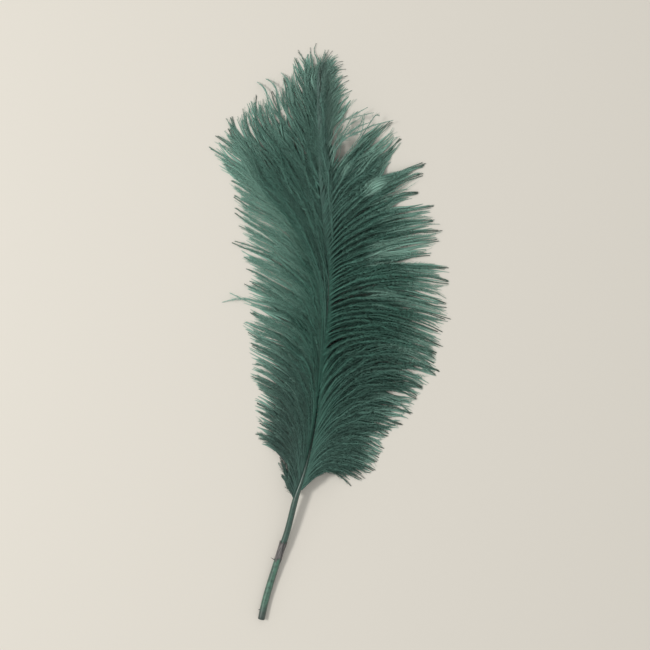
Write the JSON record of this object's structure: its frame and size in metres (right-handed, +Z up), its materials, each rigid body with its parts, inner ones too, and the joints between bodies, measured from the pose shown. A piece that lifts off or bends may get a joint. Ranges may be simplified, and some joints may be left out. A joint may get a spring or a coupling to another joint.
{
  "type": "ostrich feather",
  "caption": "Dyed ostrich plume lying flat: a slender quill and drooping shaft with two broad, soft vanes of pointed locks, for trimming a hat, a costume or an arrangement.",
  "frame": {"origin": "on the surface that the plume lies on, in the middle of the flat under the quill, 5 mm in from its cut end", "axes": "+Y from the quill towards the plume's tip, +X towards the fuller vane, +Z up from the surface"},
  "size_m": [0.138, 0.3232, 0.0197],
  "materials": {
    "plume": "soft matt dyed barbs, dark bluish green, darker towards the shaft and greyer at the tip",
    "quill": "smooth dyed horn, satin gloss, streaked, with a dry grey-brown sheath and a dark cut end"
  },
  "bodies": {
    "root": {"feather": "plume"}
  },
  "joints": []
}
